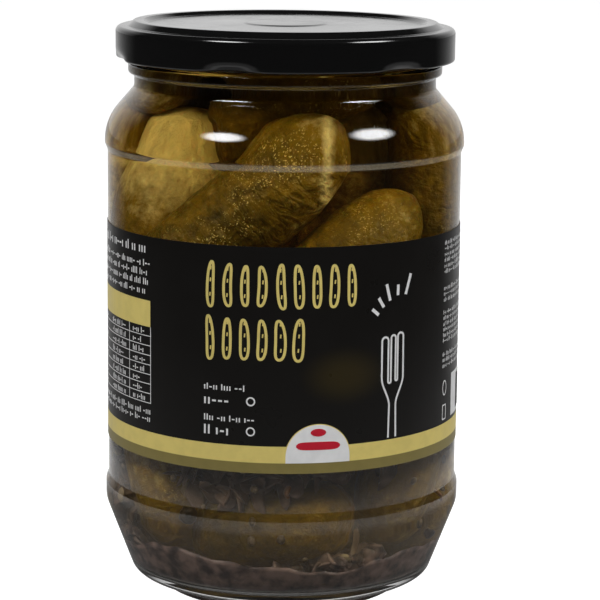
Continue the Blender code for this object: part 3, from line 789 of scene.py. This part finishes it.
rng = np.random.default_rng(7)
print_lines = []
for height, size, right_end in ((59.5, 1.5, -8.0), (56.3, 2.3, -9.5), (51.9, 1.5, -6.5), (48.9, 2.3, -9.5)):
    print_lines += ticks(-19.4 * mm, right_end * mm, height * mm, size * mm, rng)
for height in (56.4, 49.0):
    circle = np.stack([-7.6 + 0.95 * np.cos(turn), height + 0.95 * np.sin(turn)], -1) * mm
    print_lines.append(stroke(circle, 0.35 * mm))
side_lines = ((91.0, 2.3), (87.4, 1.6), (85.1, 1.6), (82.8, 1.6), (80.5, 1.6), (50.6, 1.5), (48.7, 1.5))
for height, size in side_lines:
    print_lines += ticks(-84 * mm, -35.6 * mm, height * mm, size * mm, rng)
line_pitch = 1.44
for top_line, lines in ((91.5, 6), (80.1, 3), (74.0, 6), (63.3, 3)):
    for height in np.round(top_line - line_pitch * np.arange(lines), 1):
        print_lines += ticks(48.9 * mm, 96 * mm, height * mm, 1.1 * mm, rng)
oval = np.stack([50.4 + 1.1 * np.cos(turn), 54.6 + 1.8 * np.sin(turn)], -1) * mm
print_lines.append(stroke(oval, 0.3 * mm))
frame_corners = np.array([[49.4, 46.6], [51.4, 46.6], [51.4, 50.2], [49.4, 50.2], [49.4, 46.6]]) * mm
print_lines += [stroke(frame_corners[i:i + 2], 0.3 * mm) for i in range(4)]
printed("print_lines", white_ink, print_lines)

table_left, table_right, table_top, table_bottom = -84 * mm, -36.0 * mm, 78.2 * mm, 52.6 * mm
header_bottom, column_rule, rule = 71.7 * mm, -45 * mm, 0.18 * mm
printed("table_header", gold_ink, [block(table_left, table_right, header_bottom, table_top)])
row_feet = np.linspace(table_bottom, header_bottom, 9)[:-1]
table = [block(table_left, table_right, z, z + rule) for z in row_feet]
table += [block(x, x + rule, table_bottom, header_bottom, 2) for x in (table_left, column_rule, table_right)]
for z in row_feet + 1.2 * mm:
    table += ticks(-83 * mm, -62 * mm, z, 1.4 * mm, rng) + ticks(-56 * mm, -46.5 * mm, z, 1.4 * mm, rng)
    table += ticks(-43.2 * mm, -38 * mm, z, 1.4 * mm, rng)
printed("table_rules", white_ink, table)

# A fork, drawn by one stroke round it. A tine has its middle, half width and top, in millimetres, and a
# gap its middle, half width and foot.
fork_middle, fork_bottom, fork_pen = 28.6 * mm, 46.0, 0.5 * mm
tines = ((-2.38, 0.95, 71.0), (0.1, 0.7, 71.3), (2.32, 0.88, 71.7))
tine_gaps = ((-1.0, 0.42, 59.6), (1.12, 0.34, 60.0))
half_turn = np.linspace(math.pi, 0, 11)
shoulder = np.linspace(0, 1, 15)
bowl = 3.3 - 2.3 * (3 * shoulder ** 2 - 2 * shoulder ** 3)
left_side = np.stack([-bowl[::-1], (61.0 - 7.0 * shoulder)[::-1]], -1)
fork_path = [[[-1.15, fork_bottom], [-1.0, 53.9]], left_side]
for number, (middle, half, crown) in enumerate(tines):
    cap = np.stack([middle + half * np.cos(half_turn), crown - half + half * np.sin(half_turn)], -1)
    fork_path.append(cap)
    if number < len(tine_gaps):
        middle, half, foot = tine_gaps[number]
        dip = np.stack([middle + half * np.cos(half_turn), foot + half - half * np.sin(half_turn)], -1)
        fork_path.append(dip)
fork_path += [left_side[::-1] * [-1, 1], [[1.0, 53.9], [1.15, fork_bottom]]]
fork_path = np.concatenate(fork_path) * mm + [fork_middle, 0]
printed("fork_outline", white_ink, [stroke(fork_path, fork_pen)])

# Five strokes that fan out over the fork: angle, inner end and outer end.
spark_centre = np.array([29.5, 72.2]) * mm
spark_fan = ((140, 7.0, 9.4), (122, 7.4, 10.2), (105, 8.0, 12.2), (88, 8.8, 11.4), (72, 9.2, 14.4))
sparks = []
for angle, inner, outer in spark_fan:
    way_up = np.array([math.cos(math.radians(angle)), math.sin(math.radians(angle))])
    sparks.append(stroke([spark_centre + way_up * inner * mm, spark_centre + way_up * outer * mm], 0.8 * mm))
printed("spark_strokes", white_ink, sparks)

# A white half-round badge with a gold edge, a red bar and a red dot.
badge_middle, badge_radius, badge_centre = 8.8 * mm, 7.9 * mm, 42.9 * mm
arcs = badge_middle + np.cos(np.linspace(math.pi, 0, 41)) * badge_radius
dome = badge_centre + np.sqrt(np.maximum(0, badge_radius ** 2 - (arcs - badge_middle) ** 2))
rim, foot = np.stack([arcs, dome], -1), np.stack([arcs, np.full(len(arcs), band_bottom)], -1)
printed("badge", white_ink, [strip(rim, foot, high=ink_radius + 0.08 * mm)])
printed("badge_edge", gold_ink, [stroke(rim, 0.4 * mm)])
low, high = ink_radius + 0.07 * mm, ink_radius + 0.11 * mm
across = np.linspace(-5.4, 5.4, 21)
half_height = np.sqrt(np.clip(1 - np.abs(across / 5.45) ** 6, 0.05, 1))
bar = (across, half_height, 45.6 * mm)
across = np.cos(np.linspace(math.pi, 0, 17)) * 1.9
half_height = 0.95 * np.sqrt(np.maximum(0.002, 1 - (across / 1.9) ** 2))
dot = (across, half_height, 48.9 * mm)
marks = []
for across, half_height, middle in (bar, dot):
    edges = [np.stack([badge_middle + across * mm, middle + side * half_height * mm], -1) for side in (1, -1)]
    marks.append(strip(*edges, low, high))
printed("badge_marks", red_ink, marks)

# A white field with dark bars of uneven width.
printed("bar_field", white_ink, [block(55.6 * mm, 78 * mm, 46.4 * mm, 57.4 * mm)])
rng = np.random.default_rng(11)
bars, start = [], 61.0 * mm
while start < 76 * mm:
    width = rng.choice((0.3, 0.55, 0.8)) * mm
    bar = np.array([start, start + width])
    bars.append(strip(np.stack([bar, [56.4 * mm] * 2], -1), np.stack([bar, [47.4 * mm] * 2], -1), low, high))
    start += width + rng.choice((0.3, 0.5)) * mm
printed("bars", black_ink, bars)

# Stage, light and camera.
# A white sweep, as in a product photo: a white floor and backdrop, which the jar's gloss sees as dark
# except behind it and just round its foot, and two oval lamps with soft edges.


def behind_jar(tree, place, brightness):
    """The studio's brightness in a direction, which is full straight behind the jar and nothing at its sides,
    and the direction's level part and height."""
    parts = add(tree, "SeparateXYZ", {0: place})
    flat = add(tree, "CombineXYZ", {0: parts.outputs["X"], 1: parts.outputs["Y"]}).outputs[0]
    way_out = add(tree, "VectorMath", {0: flat}, operation="NORMALIZE")
    way_out = add(tree, "SeparateXYZ", {0: way_out.outputs[0]})
    return ranged(tree, way_out.outputs["Y"], 0.5, 0.92, 0.0, brightness), flat, parts.outputs["Z"]


floor_mesh = bpy.data.meshes.new("floor")
floor_mesh.from_pydata([(-4, -4, 0), (4, -4, 0), (4, 6, 0), (-4, 6, 0)], [], [(0, 1, 2, 3)])
floor = bpy.data.objects.new("floor", floor_mesh)
bpy.context.scene.collection.objects.link(floor)
floor_paint, tree, shader = finish("floor_paint", Base_Color=(0.8, 0.8, 0.8, 1), Roughness=0.9,
                                   Specular_IOR_Level=0.0, Emission_Color=(1, 1, 1, 1))
way = add(tree, "LightPath")
behind, flat, _ = behind_jar(tree, add(tree, "TexCoord").outputs["Object"], 0.68)

# What the gloss sees of the floor, from the jar's axis out to 0.4 m.
distance = add(tree, "VectorMath", {0: flat}, operation="LENGTH")
near = add(tree, "ValToRGB", {"Fac": ranged(tree, distance.outputs["Value"], 0.0, 0.4)})
glow_steps = near.color_ramp.elements
glow_steps[0].position, glow_steps[0].color = 0.16, (0.22, 0.22, 0.22, 1)
glow_steps[1].position, glow_steps[1].color = 0.9, (0, 0, 0, 1)
for position, value in ((0.27, 0.25), (0.31, 0.6), (0.38, 0.6), (0.45, 0.3), (0.6, 0.3)):
    step = glow_steps.new(position)
    step.color = (value, value, value, 1)
bright = calc(tree, "MAXIMUM", near.outputs["Color"], behind)
lit = add(tree, "Mix", {"Factor": way.outputs["Is Glossy Ray"], "A": 1.0, "B": bright}).outputs[0]
tree.links.new(calc(tree, "MULTIPLY", lit, 0.7), shader.inputs["Emission Strength"])
black = add(tree, "BsdfDiffuse", {"Color": (0.01, 0.01, 0.01, 1)})
soft = calc(tree, "SUBTRACT", lit, way.outputs["Is Diffuse Ray"], clamp=True)
output(tree, add(tree, "MixShader", {0: soft, 1: black.outputs[0], 2: shader.outputs[0]}).outputs[0])
floor_mesh.materials.append(floor_paint)

soft_edge = 1.4  # full size over the size where the light has fallen to half


def softbox(name, azimuth, elevation, distance, width, height, radiance):
    """An oval lamp that faces the jar, of power radiance * pi * area. It fades towards its edge, and its
    width and height are measured where it has fallen to half."""
    data = bpy.data.lights.new(name, "AREA")
    data.shape = "ELLIPSE"
    data.size, data.size_y = width * soft_edge, height * soft_edge
    data.energy = radiance * math.pi * (math.pi / 4 * data.size * data.size_y)
    data.use_nodes = True
    tree = data.node_tree
    place = add(tree, "NewGeometry")
    place = add(tree, "VectorMath", {0: place.outputs["Parametric"], 1: (0.5, 0.5, 0)}, operation="SUBTRACT")
    place = add(tree, "VectorMath", {0: place.outputs[0], 1: (1, 1, 0)}, operation="MULTIPLY")
    place = add(tree, "VectorMath", {0: place.outputs[0]}, operation="LENGTH")
    fall = ranged(tree, place.outputs["Value"], 0.5, 0.2, interpolation_type="SMOOTHSTEP")
    tree.links.new(fall, tree.nodes["Emission"].inputs["Strength"])
    lamp = bpy.data.objects.new(name, data)
    a, e = math.radians(azimuth), math.radians(elevation)
    aim = Vector((0, 0, 0.09))
    away = Vector((math.sin(a) * math.cos(e), -math.cos(a) * math.cos(e), math.sin(e)))
    lamp.location = aim + distance * away
    lamp.rotation_euler = (aim - lamp.location).to_track_quat("-Z", "Y").to_euler()
    bpy.context.scene.collection.objects.link(lamp)


softbox("softbox_left", -45, 39, 1.3, 0.50, 0.36, 23)
softbox("softbox_right", 68, 40, 1.3, 0.54, 0.42, 20)

world = bpy.data.worlds.new("studio")
bpy.context.scene.world = world
world.use_nodes = True
tree = world.node_tree
way = add(tree, "LightPath")
behind, _, upward = behind_jar(tree, add(tree, "TexCoord").outputs["Generated"], 0.85)
wall = calc(tree, "MULTIPLY", ranged(tree, upward, 0.55, 0.40), behind)
seen = add(tree, "Mix", {"Factor": way.outputs["Is Glossy Ray"], "A": 1.0, "B": wall})
level = add(tree, "Mix", {"Factor": way.outputs["Is Diffuse Ray"], "A": seen.outputs[0], "B": 0.30})
tree.links.new(level.outputs[0], tree.nodes["Background"].inputs["Strength"])
tree.nodes["Background"].inputs["Color"].default_value = (1, 1, 1, 1)

# The camera, solved from the curves of the lid and the label in a picture 600 pixels wide.
camera_place = (0, -0.6166, 0.1906)
focal_pixels, picture_width = 2455, 600
camera_data = bpy.data.cameras.new("camera")
camera_data.sensor_width = 36
camera_data.lens = focal_pixels / picture_width * camera_data.sensor_width
camera_data.clip_start = 0.01
camera = bpy.data.objects.new("camera", camera_data)
pitch, yaw, roll = math.radians(10.81), math.radians(0.40), math.radians(0.60)
ahead = Vector((math.sin(yaw) * math.cos(pitch), math.cos(yaw) * math.cos(pitch), -math.sin(pitch)))
right = Vector((math.cos(yaw), -math.sin(yaw), 0))
up = right.cross(ahead)
right, up = math.cos(roll) * right + math.sin(roll) * up, math.cos(roll) * up - math.sin(roll) * right
turned_to_jar = Matrix((right, up, -ahead)).transposed().to_4x4()
camera.matrix_world = Matrix.Translation(camera_place) @ turned_to_jar
bpy.context.scene.collection.objects.link(camera)
bpy.context.scene.camera = camera
bpy.context.scene.view_settings.view_transform = "Standard"
